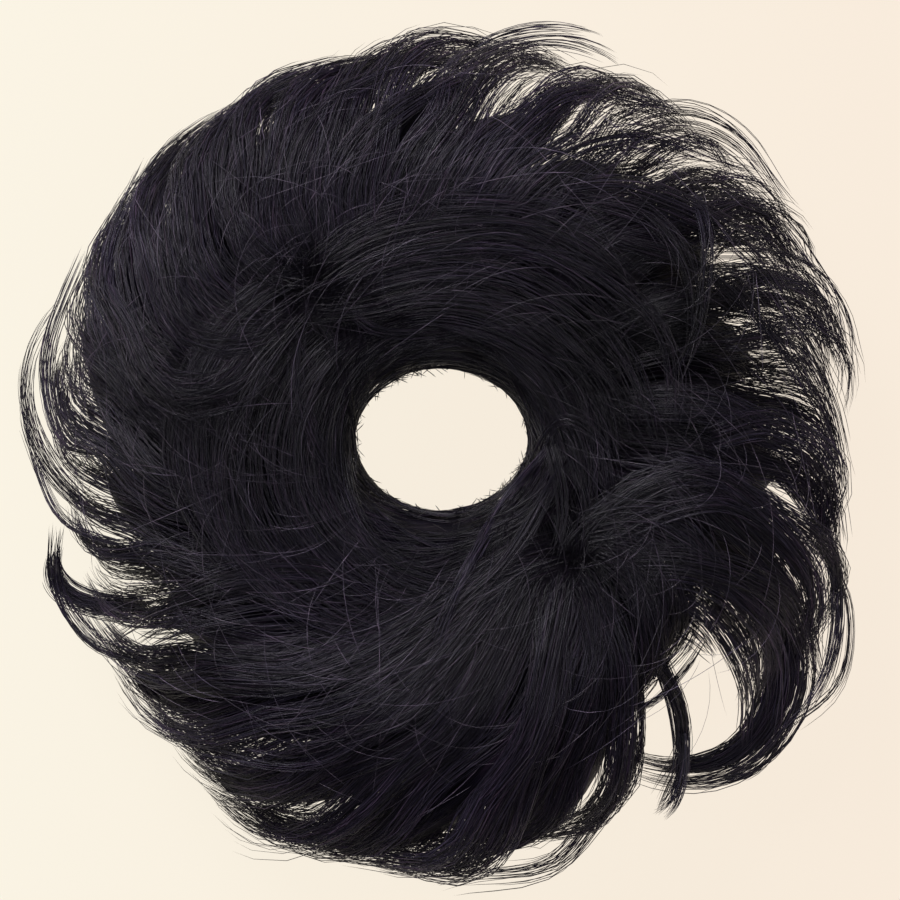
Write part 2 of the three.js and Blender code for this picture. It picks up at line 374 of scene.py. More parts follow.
def fibre_points(rng, paths, thick):
    """Each path's first point, three round every point between, and its last point."""
    ahead = np.gradient(paths, axis=1)[:, 1:-1]
    side = unit(np.cross(ahead, np.array([0.13, 0.29, 1.0])))
    rise = unit(np.cross(side, ahead))
    shares = np.linspace(0, 1, paths.shape[1])[1:-1]
    radius = thick[:, None] / 2 * np.minimum(1, np.minimum(0.55 + shares * 4, (1 - shares) * 4 + 0.3))
    turn = rng.uniform(0, 2 * np.pi, len(paths))[:, None, None] + np.arange(3) * 2 * np.pi / 3
    out = side[:, :, None] * np.cos(turn)[..., None] + rise[:, :, None] * np.sin(turn)[..., None]
    rings = paths[:, 1:-1, None] + radius[:, :, None, None] * out
    return np.concatenate([paths[:, :1], rings.reshape(len(paths), -1, 3), paths[:, -1:]], 1)


# Painted highlight and painted shade: soft spots where the hair's colour is made paler for its sheen, or
# darker for the shade where it lies sunk, with their spread and their factor.
PAINTED_SHEEN_AND_SHADE = table(
    "x y spread tone",
    (12, 58, 18, 1.5),
    (-32, 52, 12, 1.2),
    (-26, -36, 12, 1.45),
    (10, -60, 14, 1.2),
    (-64, 38, 8, 1.4),
    (60, -8, 10, 1.15),
    (-26, 30, 8, 0.5),
    (32, 16, 13, 0.42),
    (51, 27, 11, 0.45),
    (28, -22, 10, 0.55),
    (-40, 2, 13, 0.7),
    (6, -40, 9, 0.7),
    (0, 0, 16, 0.45),
    (50, -28, 9, 0.7),
    (-58, 8, 9, 0.75),
    (68, -46, 11, 1.5),
)


# The packed cores are painted darker than the fibres over them: painted shade between and under the locks.
CORE_PAINTED_SHADE = 0.8
PALE_ENDS = {"from": 64, "over": 16, "more": 0.7}  # thin ends at the rim let light through


def painted_light_at(spots):
    """How pale the hair is painted at each spot: painted light at the rim's thin ends and in the sheens,
    painted shade where it lies sunk.
    """
    away = np.hypot(spots[:, 0], spots[:, 1])
    tone = 1 + PALE_ENDS["more"] * np.clip((away - PALE_ENDS["from"]) / PALE_ENDS["over"], 0, 1)
    for row in PAINTED_SHEEN_AND_SHADE:
        away = (spots[:, 0] - row["x"]) ** 2 + (spots[:, 1] - row["y"]) ** 2
        tone *= 1 + (row["tone"] - 1) * np.exp(-away / (2 * row["spread"] ** 2))
    return tone


def fibre_mesh(name, locks, thick, seed, core=None, material=HAIR, shades=None):
    """A mesh of closed fibres of three sides, pointed at both ends, along the locks' paths, joined with a
    core mesh. `thick` is the least and greatest thickness of a fibre, and `shades` each lock's own tone.
    The map `OFBake` gives each fibre a row of its own above the core's share."""
    rng = np.random.default_rng(seed)
    total = sum(len(paths) for paths in locks)
    corners, sizes, spots, maps = [], [], [], []
    first, done = 0, 0
    for paths in locks:
        paths[..., 2] = np.maximum(paths[..., 2], LOWEST)
        number, points = paths.shape[:2]
        one, each_size, places = fibre_faces(points)
        spots.append(fibre_points(rng, paths, rng.uniform(*thick, number)).reshape(-1, 3))
        each = (points - 2) * 3 + 2
        corners.append((first + one[None] + np.arange(number)[:, None] * each).ravel())
        sizes.append(np.tile(each_size, number))
        row = CORE_SHARE + (1 - CORE_SHARE) * (done + np.arange(number) + 0.5) / total
        along = np.tile(places / (points - 1), number)
        maps.append(np.column_stack([along, np.repeat(row, len(places))]))
        first += number * each
        done += number
    shades = rng.uniform(0.7, 1.3, len(locks)) if shades is None else shades
    tones = np.concatenate([painted_light_at(part) * shade for part, shade in zip(spots, shades)])
    spots = np.concatenate(spots) * MILLIMETRE + CENTRE
    corners, sizes = np.concatenate(corners), np.concatenate(sizes)
    mesh = bpy.data.meshes.new(name)
    mesh.vertices.add(len(spots))
    mesh.vertices.foreach_set("co", spots.astype(np.float32).ravel())
    mesh.loops.add(len(corners))
    mesh.loops.foreach_set("vertex_index", corners.astype(np.int32))
    mesh.polygons.add(len(sizes))
    starts = np.concatenate([[0], np.cumsum(sizes)[:-1]])
    mesh.polygons.foreach_set("loop_start", starts.astype(np.int32))
    mesh.update(calc_edges=True)
    layer = mesh.uv_layers.new(name="OFBake")
    layer.data.foreach_set("uv", np.concatenate(maps).astype(np.float32).ravel())
    mesh.materials.append(material)
    if core is not None:
        loose_faces = len(mesh.polygons)
        shape = bmesh.new()
        shape.from_mesh(mesh)
        shape.from_mesh(core)
        shape.to_mesh(mesh)
        shape.free()
        bpy.data.meshes.remove(core)
        mesh.materials.append(PACKED)
        in_core = np.arange(len(mesh.polygons)) >= loose_faces
        mesh.polygons.foreach_set("material_index", in_core.astype(np.int32))
        places = np.empty(len(mesh.vertices) * 3)
        mesh.vertices.foreach_get("co", places)
        places = places.reshape(-1, 3)[len(tones) :] / MILLIMETRE - CENTRE / MILLIMETRE
        tones = np.concatenate([tones, painted_light_at(places) * CORE_PAINTED_SHADE])
    mesh.attributes.new("tone", "FLOAT", "POINT").data.foreach_set("value", tones.astype(np.float32))
    mesh.polygons.foreach_set("use_smooth", np.ones(len(mesh.polygons), bool))
    return mesh


ROOTS = 4.0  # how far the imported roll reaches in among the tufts' roots
SMOOTHINGS = 3


def packed_core(node, inset, map_of):
    """The dense hair under the loose fibres: the node's form, rounded off and drawn in by `inset`, with
    its grain laid by map_of(points) -> (along, across)."""
    shape = bmesh.new()
    shape.from_mesh(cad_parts[node].data)
    bmesh.ops.remove_doubles(shape, verts=shape.verts[:], dist=1e-5)
    bmesh.ops.subdivide_edges(shape, edges=shape.edges[:], cuts=1, use_grid_fill=True, smooth=0.0)
    for _ in range(SMOOTHINGS):
        bmesh.ops.smooth_vert(
            shape, verts=shape.verts[:], factor=0.5, use_axis_x=True, use_axis_y=True, use_axis_z=True
        )
    shape.normal_update()
    for vertex in shape.verts:
        outward = (vertex.co - RING_MIDDLE) * mathutils.Vector((1, 1, 0))
        outward.normalize()
        facing = max(0.0, vertex.normal.dot(outward))
        vertex.co = vertex.co - vertex.normal * inset * MILLIMETRE + outward * facing * ROOTS * MILLIMETRE
    layer = shape.loops.layers.uv.new("OFBake")
    spots = np.array([loop.vert.co for face in shape.faces for loop in face.loops]) / MILLIMETRE
    spots -= CENTRE / MILLIMETRE
    along, over = map_of(spots)
    number = 0
    for face in shape.faces:
        for loop in face.loops:
            loop[layer].uv = (along[number], over[number] * CORE_ROWS)
            number += 1
    mesh = bpy.data.meshes.new(node + "_core")
    shape.to_mesh(mesh)
    shape.free()
    return mesh


def finished(name, mesh, node=None):
    """The mesh as a piece of hair on the one body, in the place of a CAD node where it has one."""
    piece = bpy.data.objects.new(name, mesh)
    bpy.context.scene.collection.objects.link(piece)
    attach(piece, "root")
    if node:
        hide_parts(node)
    return piece


HOLE = (34.0, 27.6)  # across the oval hole, and along it
WINDING = {"width": 17.0, "height": 31.0, "floor": 2.5}


def hole_radius(angle):
    """From the axis to the hole's edge."""
    turn = np.radians(angle)
    across, along = HOLE[0] / 2, HOLE[1] / 2
    return across * along / np.hypot(along * np.cos(turn), across * np.sin(turn))


def winding_place(angle, around, proud):
    """A point on the winding: `around` runs from 0 outside, over the crown at 90, to 180 at the hole."""
    half, rise = WINDING["width"] / 2, WINDING["height"] / 2
    out = (half + proud) * np.cos(np.radians(around))
    up = (rise + proud) * np.sin(np.radians(around))
    return polar(angle, hole_radius(angle) + half + out, WINDING["floor"] + rise + up)


def winding_map(spots):
    """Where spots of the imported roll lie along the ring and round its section, each as a share."""
    turn = np.degrees(np.arctan2(spots[:, 1], spots[:, 0])) % 360
    out = np.hypot(spots[:, 0], spots[:, 1]) - hole_radius(turn) - WINDING["width"] / 2
    up = spots[:, 2] - WINDING["floor"] - WINDING["height"] / 2
    return turn / 360, (np.degrees(np.arctan2(up / WINDING["height"], out / WINDING["width"])) % 360) / 360


BUNDLES = {"count": 104, "fibres": 12, "width": 2.6, "thick": 0.3}
INSET = 0.9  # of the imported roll, from the CAD form: the short ends start on it
ENDS = {"count": 270, "points": 5}
RAGGED = ((-35, 20), (140, 26))  # degrees: where most ends stand out of the hole's edge, and their spread


def winding_hair():
    """Bundles in a spiral, every sixth of them underneath, and short ends round the hole."""
    rng = np.random.default_rng(11)
    paths = []
    for number in range(BUNDLES["count"]):
        angle = rng.uniform(0, 360)
        sweep = rng.uniform(70, 130) * (-1 if rng.random() < 0.8 else 1)
        around = rng.uniform(88, 205) if number % 6 else rng.uniform(205, 400)
        drift = rng.uniform(-70, 30)
        share = np.linspace(0, 1, 40)
        proud = rng.uniform(-1.15, -0.45)
        guide = winding_place(angle + sweep * share, around + drift * share, proud)
        out = guide - winding_place(angle + sweep * share, around + drift * share, proud - 2)
        paths.append(
            lock(
                rng, guide, out, BUNDLES["fibres"], BUNDLES["width"], BUNDLES["thick"],
                tip=0.6, short=0.4, wave=0.2, stray=0.006,
            )
        )
    ends = []
    share = np.linspace(0, 1, ENDS["points"])
    for number in range(ENDS["count"]):
        angle = (rng.normal(*RAGGED[0]), rng.normal(*RAGGED[1]), rng.uniform(0, 360))[number % 3]
        turned = rng.uniform(2, 14) * rng.choice([-1, 1])
        stands = rng.uniform(0.2, 1.4) if number % 3 < 2 else rng.uniform(0.1, 0.8)
        around = rng.uniform(120, 200) + rng.uniform(-25, 25) * share
        proud = -INSET + (INSET + stands) * share
        ends.append(winding_place(angle + turned * share, around, proud))
    paths.append(np.array(ends))
    return fibre_mesh("winding_hair", paths, FIBRE, 12, packed_core("inner_wrap", INSET, winding_map))


finished("winding_hair", winding_hair(), "inner_wrap")

# The tufts: bunches of hair sewn into the winding by their roots. Each leaves its root outwards, bends
# clockwise and ends in loose, pointed locks. Its packed core has the CAD form, and its locks lie all round
# the core, the ones on top reaching in over the winding's crown.
REACH = 84.0  # of the longest tufts, from the axis
PILE = 42.0  # height of the hair
LEAN = 16.0  # degrees by which the tufts' tops lean over their undersides
BEND_START = 34.8  # from the axis: a tuft is straight up to here
# One row for each tuft. `at` is its leading edge's angle at the root, which turns by `sweep` degrees on its
# way out, late where `ease` is high. `reach` is a share of REACH, `notch` and `taper` draw in the end,
# `crown` and `tip` are heights as shares of PILE, and `core` is how far its packed hair reaches. `loose` is
# how loose its locks are, `rim` where they end, `open` how much of its width they take up, and `trim`
# shortens them.
TUFTS = table(
    "at sweep ease reach notch taper crown tip core loose rim open trim",
    (262, 60, 1.2, 0.96, 0.05, 0.1, 0.9, 0.34, 0.68, 0.1, 82, 0.62, 0.6),
    (228, 44, 1.1, 0.9, 0.07, 0.05, 0.86, 0.36, 0.82, 0.6, 80, 1, 0.7),
    (202, 38, 1.5, 0.97, 0.06, 0, 0.94, 0.32, 0.86, 0.4, 80, 1, 0.8),
    (180, 36, 2.0, 1.0, 0.04, 0, 1.0, 0.36, 0.91, 0.1, 80.5, 1, 1),
    (158, 34, 2.6, 1.0, 0.03, 0, 0.97, 0.38, 0.93, 0, 80, 1, 1),
    (138, 33, 2.8, 0.99, 0.03, 0, 0.95, 0.36, 0.88, 0.1, 80, 1, 1),
    (119, 34, 2.6, 0.96, 0.05, 0, 0.9, 0.34, 0.85, 0.4, 81.5, 1, 1),
    (100, 34, 2.4, 0.97, 0.05, 0, 0.96, 0.36, 0.72, 0.8, 83, 1, 1),
    (80, 30, 2.2, 0.97, 0.07, 0.05, 0.9, 0.34, 0.67, 0.9, 83, 1, 1),
    (58, 26, 2.2, 0.98, 0.05, 0, 0.92, 0.32, 0.66, 0.9, 83.5, 1, 1),
    (36, 21, 2.0, 0.97, 0.08, 0, 0.88, 0.36, 0.64, 1, 84, 1, 1),
    (14, 17, 1.6, 0.98, 0.07, 0, 0.86, 0.34, 0.68, 0.9, 83, 1, 1),
    (-6, 15, 1.6, 0.96, 0.05, 0.1, 0.92, 0.34, 0.78, 0.6, 87, 0.9, 1),
    (-24, 13, 1.5, 0.76, 0.1, 0.1, 0.82, 0.36, 0.93, 0.15, 65, 1, 1),
    (-38, 28, 0.8, 1.05, 0.05, 0, 0.96, 0.34, 0.93, 0.1, 84, 1, 1),
    (-52, 36, 0.8, 1.08, 0.04, 0, 1.0, 0.32, 0.92, 0.15, 88, 1, 1),
    (-66, 42, 0.9, 1.04, 0.06, 0, 0.98, 0.3, 0.92, 0.2, 87, 1, 1),
    (-80, 50, 1.0, 0.98, 0.08, 0.05, 0.94, 0.32, 0.93, 0.15, 82, 1, 1),
)
# One row for each curl that leaves a tuft: its angle and sweep, its distances as shares of REACH, its
# heights and thickness as shares of PILE, and the fibres of each of its strands.
CURLS = table(
    "tuft from sweep start crest end low high thick fibres",
    (1, 207, 11, 0.9, 0.98, 0.96, 0.3, 0.34, 0.16, 26),
    (2, 196, 35, 0.76, 0.98, 0.98, 0.4, 0.4, 0.12, 9),
    (7, 94, 28, 0.8, 0.97, 1.01, 0.4, 0.42, 0.12, 10),
    (12, -7, 32, 0.84, 1.03, 1.08, 0.45, 0.55, 0.11, 12),
    (13, -26, 33, 0.86, 1.035, 0.905, 0.34, 0.2, 0.28, 40),
    (14, -42.5, 18.5, 0.62, 0.93, 1.03, 0.5, 0.6, 0.14, 22),
)


def edge_angle(row, radius):
    """The angle of a tuft's leading edge at a distance from the axis."""
    share = np.maximum(0, radius - BEND_START) / (REACH - BEND_START)
    return row["at"] - row["sweep"] * share ** row["ease"]


CREST = 0.42  # of a tuft's length: where it is highest
ROOT_HEIGHT = 0.74  # of PILE


def crown_height(row, along):
    """The height of a tuft's top."""
    inner = ROOT_HEIGHT + (row["crown"] - ROOT_HEIGHT) * np.sin(np.pi / 2 * np.clip(along / CREST, 0, 1))
    fall = np.clip((along - CREST) / (1 - CREST), 0, 1.1) ** 1.8
    outer = row["crown"] + (row["tip"] - row["crown"]) * fall
    return PILE * np.where(along < CREST, inner, outer)


def floor_height(row, along):
    """The height of a tuft's underside."""
    inner = 0.12 * np.clip(1 - along / 0.21, 0, 1)
    outer = row["tip"] * 0.55 * np.clip((along - 0.6) / 0.4, 0, 1.1) ** 1.6
    return PILE * np.where(along < 0.6, inner, outer)


INWARD_TURN = 70  # degrees that a lock turns on its way in over the winding, for a tuft's length


def tuft_place(number, along, over, lift):
    """A point of a tuft: `along` from its root to its end, `over` from its leading to its trailing edge,
    `lift` from its underside to its top. Before the root it runs in over the winding's crown."""
    row, following = TUFTS[number], TUFTS[(number + 1) % len(TUFTS)]
    behind = 360 if number + 1 == len(TUFTS) else 0
    top, bottom = crown_height(row, along), floor_height(row, along)
    middle = (top + bottom) / 2
    full = np.maximum(0.25, 1 - 0.58 * np.abs(2 * over - 1) ** 2.2)
    height = middle + (2 * lift - 1) * (top - middle) * full
    height = np.maximum(height, bottom)
    leaning = LEAN * (height / PILE - 0.5)
    root_angle = row["at"] + (following["at"] - behind - row["at"]) * over + leaning
    root = hole_radius(root_angle) + WINDING["width"] + 0.55
    lobe = 1 - row["notch"] * (2 * over - 1) ** 2
    radius = root + (REACH * row["reach"] * lobe - root) * along
    narrowed = 0.5 + (over - 0.5) * (1 - row["taper"] * np.clip(along, 0, 1) ** 2)
    lead, trail = edge_angle(row, radius), edge_angle(following, radius) - behind
    angle = lead + (trail - lead) * narrowed + leaning + INWARD_TURN * np.maximum(0, -along)
    half = WINDING["width"] / 2
    from_crown = np.clip((radius - hole_radius(angle) - half) / half, -1, 1)
    crown = WINDING["floor"] + WINDING["height"] / 2 * (1 + np.sqrt(1 - from_crown**2)) + 0.5
    height = np.where(along < 0, np.maximum(crown, height), height)
    return polar(angle, radius, height)


CORE_START = -0.06  # of a tuft's length: a little way into the winding
CORE_SINK = 5.0  # how far its tip sinks under the locks


def tuft_core(number):
    """The dense hair inside a tuft: a ball drawn out along the tuft and pressed into its section, which
    ends well before the loose tips do. Its grain runs along it."""
    shape = bmesh.new()
    layer = shape.loops.layers.uv.new("OFBake")
    bmesh.ops.create_uvsphere(shape, u_segments=28, v_segments=22, radius=1.0)
    spots = np.array([vertex.co for vertex in shape.verts])
    reach = np.clip(spots[:, 2], -1, 1)
    ring = np.hypot(spots[:, 0], spots[:, 1])
    turn = np.arctan2(spots[:, 1], spots[:, 0])
    point = 2.8 - 1.1 * TUFTS[number]["loose"]
    full = np.where(reach < 0, (1 - reach**8) ** 0.5, (1 - np.maximum(reach, 0) ** point) ** 0.55)
    full = full * (ring > 1e-6)
    along = CORE_START + (TUFTS[number]["core"] - CORE_START) * (reach + 1) / 2
    over = 0.5 + 0.49 * full * np.sign(np.cos(turn)) * np.abs(np.cos(turn)) ** 0.8
    lift = 0.48 + 0.44 * full * np.sign(np.sin(turn)) * np.abs(np.sin(turn)) ** 0.8
    places = tuft_place(number, along, over, lift)
    places[:, 2] -= CORE_SINK * np.maximum(0, reach) ** 4 * (places[:, 2] > 12)
    for vertex, place in zip(shape.verts, places):
        vertex.co = place * MILLIMETRE
        vertex.co.x += RING_MIDDLE.x
        vertex.co.y += RING_MIDDLE.y
    shape.verts.ensure_lookup_table()
    round_share = turn / (2 * np.pi) + 0.5
    for face in shape.faces:
        corners = [loop.vert.index for loop in face.loops]
        turns = [round_share[corner] for corner in corners if ring[corner] > 1e-6]
        wraps = max(turns) - min(turns) > 0.5
        for corner, loop in zip(corners, face.loops):
            at = round_share[corner] if ring[corner] > 1e-6 else turns[0]
            at = at + 1 if wraps and at < 0.5 else at
            loop[layer].uv = (along[corner], min(at, 1.0) * CORE_ROWS)
    shape.normal_update()
    bmesh.ops.recalc_face_normals(shape, faces=shape.faces[:])
    mesh = bpy.data.meshes.new("tuft_core")
    shape.to_mesh(mesh)
    shape.free()
    return mesh


# One row for each kind of lock round a tuft: how many, where over the tuft they lie, how high, where they
# start, how wide and thick they are, how many fibres each has, and the points of a fibre. The rows are the
# top, the leading and the trailing flank, the middle and the underside.
LOCKS = table(
    "count over lift start width thick fibres points",
    (9, (0.0, 1.0), (0.94, 1.06), (-0.3, -0.05), 3.8, 1.3, 45, 12),
    (2, (-0.04, 0.06), (0.3, 0.85), (0.0, 0.3), 4.2, 1.0, 32, 8),
    (2, (0.9, 1.0), (0.2, 0.7), (0.1, 0.4), 4.2, 1.0, 28, 8),
    (2, (0.2, 0.85), (0.3, 0.7), (0.35, 0.45), 5.0, 3.0, 30, 8),
    (3, (0.1, 0.95), (-0.02, 0.1), (0.3, 0.5), 4.6, 1.4, 20, 8),
)

# Two whorls that the hair grows out of, by their distance and angle, and the tufts whose upper locks start
# at each. The denser tufts have two more top locks.
WHORLS = table(
    "radius angle tufts",
    (43.5, 132, (4, 5, 6, 7, 8, 9)),
    (36.0, 318, (13, 14, 15, 16, 17, 18, 1)),
)


DENSE = (1, 2, 16, 17, 18)
# The hair's top in section: its height at distances from the axis.
TOP = table(
    "radius height",
    (14, 12), (17, 24), (21, 31), (26, 34.5), (34, 35.5), (44, 38),
    (54, 40), (64, 37.5), (74, 31), (84, 18), (92, 11),
)


def top_height(radius):
    """How high the top of the hair lies at a distance from the axis."""
    return np.interp(radius, [row["radius"] for row in TOP], [row["height"] for row in TOP])


def evenly(line, steps):
    """The same line through points at even distances."""
    run = np.concatenate([[0], np.cumsum(np.linalg.norm(np.diff(line, axis=0), axis=1))])
    even = np.linspace(0, run[-1], steps)
    return np.column_stack([np.interp(even, run, line[:, axis]) for axis in range(3)])


def round_the_rim(line, length, rim, flare, low):
    """The line carried on by `length`, turning clockwise till it runs along the rim. On the way it stands
    out from the rim by `flare` degrees and comes back, and it sinks to the height `low`."""
    steps = 24
    sharpest = 0.13  # radians in a step
    step = length / steps
    place = line[-1].copy()
    course = np.arctan2(*(line[-1] - line[-4])[1::-1])
    fall = place[2] - low
    added = []
    for number in range(1, steps + 1):
        share = number / steps
        radius, turn = np.hypot(place[0], place[1]), np.arctan2(place[1], place[0])
        turned = flare * (1.3 - 1.9 * share)
        wanted = turn - np.pi / 2 + np.radians(turned + np.clip(7.0 * (rim - radius), -60.0, 55.0))
        change = (wanted - course + np.pi) % (2 * np.pi) - np.pi
        course += np.clip(change, -sharpest, sharpest)
        place = place + step * np.array([np.cos(course), np.sin(course), 0.0])
        place[2] = low + fall * (1 - share**1.6)
        added.append(place)
    return np.concatenate([line, added])


CUT = 0.68  # of a tuft's length: past it the locks turn toward the rim


def tuft_locks(rng, number):
    """All the locks of a tuft. Each follows its tuft up to about CUT and then the rim."""
    paths = []
    row = TUFTS[number]
    whorl = next((w for w in WHORLS if number + 1 in w["tufts"]), None)
    loose = row["loose"]
    rim = row["rim"]
    for kind in LOCKS:
        on_top = kind["lift"][0] > 0.9
        count = kind["count"] + (2 if on_top and number + 1 in DENSE else 0)
        for piece in range(count):
            low, high = (side * row["open"] for side in kind["over"])
            over_start = low + (high - low) * (piece + rng.uniform(0.1, 0.9)) / count
            over_end = over_start + rng.normal(0, 0.14)
            lift = rng.uniform(*kind["lift"])
            start = rng.uniform(*kind["start"])
            cut = CUT + rng.uniform(-0.14, 0.04)
            share = np.linspace(0, 1, 40)
            along = start + (cut - start) * share
            over = over_start + (over_end - over_start) * share**1.5
            guide = tuft_place(number, along, over, lift + 0 * along)
            if whorl and on_top and piece % 3:
                distance = whorl["radius"] + rng.normal(0, 2.5)
                spot = polar(whorl["angle"] + rng.normal(0, 5), distance, top_height(distance) + 1)
                pull = np.clip(1 - share / 0.7, 0, 1)[:, None] ** 1.5
                guide = guide * (1 - pull) + spot * pull
                over_hair = top_height(np.hypot(guide[:, 0], guide[:, 1])) + 0.3
                guide[:, 2] = np.maximum(guide[:, 2], over_hair)
            guide[:, 2] += rng.uniform(-1.2, 1.6) * on_top * np.sin(np.pi * share)
            length = (rim - 34) * (1 - cut) + rng.uniform(8, 26 - 10 * loose)
            length *= row["trim"]
            if not on_top:
                length *= 0.85 - 0.3 * loose
            sink = (0.45, 1.1) if lift > 0.2 else (0.25, 0.8)
            sunk = PILE * (row["tip"] * rng.uniform(*sink))
            flare = rng.uniform(-8, 6) + 40 * loose * rng.uniform(0.4, 1)
            ends_at = rim - rng.uniform(0, 4.5) - 2 * loose
            guide = evenly(round_the_rim(guide, length, ends_at, flare, sunk), 48)
            if on_top:
                out = np.tile([0.0, 0.0, 1.0], (len(guide), 1))
            else:
                inside = tuft_place(number, np.linspace(max(start, 0.02), 1, 48), 0.5, np.full(48, 0.5))
                out = unit(guide - inside)
            paths.append(
                lock(
                    rng, guide, out, kind["fibres"], kind["width"], kind["thick"], kind["points"],
                    tip=0.2 - 0.1 * loose, short=0.35 + 0.15 * loose, wave=0.5, stray=0.006 + 0.007 * loose,
                )
            )
    return paths


def curl_line(row, share):
    """A curl's middle line, from where it leaves its tuft to its tip, in shares of its length."""
    rise = 4 * share * (1 - share)
    radius = row["start"] + (row["end"] - row["start"]) * share
    radius = REACH * (radius + (row["crest"] - (row["start"] + row["end"]) / 2) * rise)
    height = PILE * (row["low"] + (row["high"] - row["low"]) * share)
    return polar(row["from"] - row["sweep"] * share, radius, height)


def curl_locks(rng, row):
    """A curl's fibres, in strands that part and come together along its line."""
    share = np.linspace(-0.25, 1.0, 56)
    thick = PILE * row["thick"] / 2
    up = np.tile([0.0, 0.0, 1.0], (len(share), 1))
    paths = []
    for _ in range(3 + int(thick)):
        shift, bow = rng.normal(0, 0.45 * thick), rng.normal(-0.1 * thick, 0.4 * thick)
        guide = curl_line(row, share * rng.uniform(0.86, 1.06))
        outward = unit(guide * np.array([1.0, 1.0, 0.0]))
        way = np.clip(share, 0, 1)
        guide = guide + outward * (shift * (1 - 0.6 * way) + bow * way)[:, None]
        guide[:, 2] += rng.normal(0, 0.3 * thick)
        width = 0.9 + 0.3 * thick
        paths.append(
            lock(
                rng, guide, up, row["fibres"], width, 0.7 * width, 17,
                root=1.2, tip=0.2, short=0.4, wave=0.35, stray=0.006,
            )
        )
    return paths


def curl_core(row):
    """The dense hair inside a curl: a tapering tube along its line, closed to a point at both ends."""
    share = np.linspace(-0.2, 0.9, 26)
    line = curl_line(row, share)
    ahead = unit(np.gradient(line, axis=0))
    side = unit(np.cross(ahead, [0.0, 0.0, 1.0]))
    rise = np.cross(side, ahead)
    thick = PILE * row["thick"] / 2 * 0.55
    thick = thick * np.clip((share + 0.2) / 0.15, 0, 1) ** 0.5 * np.clip((0.9 - share) / 0.8, 0, 1) ** 0.6
    corners = 10
    shape = bmesh.new()
    layer = shape.loops.layers.uv.new("OFBake")
    rings = []
    for middle, across, up, radius in zip(line[1:-1], side[1:-1], rise[1:-1], thick[1:-1]):
        turns = np.arange(corners) * 2 * np.pi / corners
        ring = middle + radius * (np.cos(turns)[:, None] * across + 0.8 * np.sin(turns)[:, None] * up)
        rings.append([shape.verts.new(spot * MILLIMETRE + CENTRE) for spot in ring])
    ends = [shape.verts.new(spot * MILLIMETRE + CENTRE) for spot in (line[0], line[-1])]
    for corner in range(corners):
        after = (corner + 1) % corners
        low, high = (corner / corners, (corner + 1) / corners)
        for number, (ring, following) in enumerate(zip(rings, rings[1:])):
            face = shape.faces.new([ring[corner], ring[after], following[after], following[corner]])
            steps = (number, number, number + 1, number + 1)
            for loop, over, at in zip(face.loops, (low, high, high, low), steps):
                loop[layer].uv = (at / len(rings), over * CORE_ROWS)
        for end, ring, at in ((ends[0], rings[0], 0.0), (ends[1], rings[-1], 1.0)):
            face = shape.faces.new([end, ring[after], ring[corner]])
            for loop, over in zip(face.loops, ((low + high) / 2, high, low)):
                loop[layer].uv = (at, over * CORE_ROWS)
    shape.normal_update()
    bmesh.ops.recalc_face_normals(shape, faces=shape.faces[:])
    mesh = bpy.data.meshes.new("curl_core")
    shape.to_mesh(mesh)
    shape.free()
    return mesh


def joined(meshes):
    """The meshes as one."""
    shape = bmesh.new()
    for mesh in meshes:
        shape.from_mesh(mesh)
    shape.to_mesh(meshes[0])
    shape.free()
    for mesh in meshes[1:]:
        bpy.data.meshes.remove(mesh)
    return meshes[0]


THIN_CURL = 0.2  # of PILE: up to this a curl is fibres alone, with no packed hair inside
for number, row in enumerate(TUFTS):
    node = f"tuft_{number + 1:02d}"
    rng = np.random.default_rng(100 + number)
    paths, cores = tuft_locks(rng, number), [tuft_core(number)]
    for curl in CURLS:
        if curl["tuft"] == number + 1:
            paths += curl_locks(rng, curl)
            cores += [curl_core(curl)] if curl["thick"] > THIN_CURL else []
    finished(node + "_hair", fibre_mesh(node + "_hair", paths, FIBRE, 200 + number, joined(cores)), node)

# The inner tier: long locks that leave the upper whorl both ways and wrap the hole, over the tufts' roots.
# `start` and `end` are angles, and `first`, `middle` and `last` are distances from the axis.
INNER_TIER = table(
    "start end first middle last width",
    (130, 222, 42, 52, 46, 4.0),
    (132, 232, 39, 48, 43, 4.4),
    (134, 240, 35, 43, 41, 4.4),
    (130, 252, 32, 38, 37, 4.2),
    (126, 268, 28, 33, 34, 4.0),
    (122, 285, 25, 28, 31, 3.6),
    (110, 300, 22, 23, 31, 3.0),
    (134, 36, 42, 46, 51, 4.4),
    (132, 26, 38, 41, 47, 4.4),
    (128, 12, 34, 36, 42, 4.2),
    (124, -2, 30, 31, 38, 4.0),
    (112, -16, 26, 27, 34, 3.6),
    (96, -30, 22, 23, 31, 3.0),
    (60, -44, 21, 22, 33, 2.6),
)


def inner_tier():
    """Two locks to each row."""
    rng = np.random.default_rng(31)
    share = np.linspace(0, 1, 56)
    paths = []
    for row in INNER_TIER:
        for _ in range(2):
            first_angle = row["start"] + rng.normal(0, 3)
            angle = first_angle + (row["end"] + rng.normal(0, 6) - row["start"]) * share
            radius = row["first"] * (1 - share) * (1 - 2 * share) + 4 * row["middle"] * share * (1 - share)
            radius = radius + row["last"] * share * (2 * share - 1) + rng.normal(0, 1.0)
            radius = np.maximum(radius, hole_radius(angle) + 2.0)
            crest = top_height(radius - hole_radius(angle) + 15.4) + rng.uniform(0.8, 2.2)
            guide = polar(angle, radius, crest)
            up = np.tile([0.0, 0.0, 1.0], (len(share), 1))
            paths.append(
                lock(
                    rng, guide, up, 37, row["width"], 1.0, 13,
                    root=0.5, tip=0.3, short=0.5, wave=0.7, stray=0.012,
                )
            )
    return fibre_mesh("inner_tier_hair", paths, FIBRE, 32)


finished("inner_tier_hair", inner_tier())

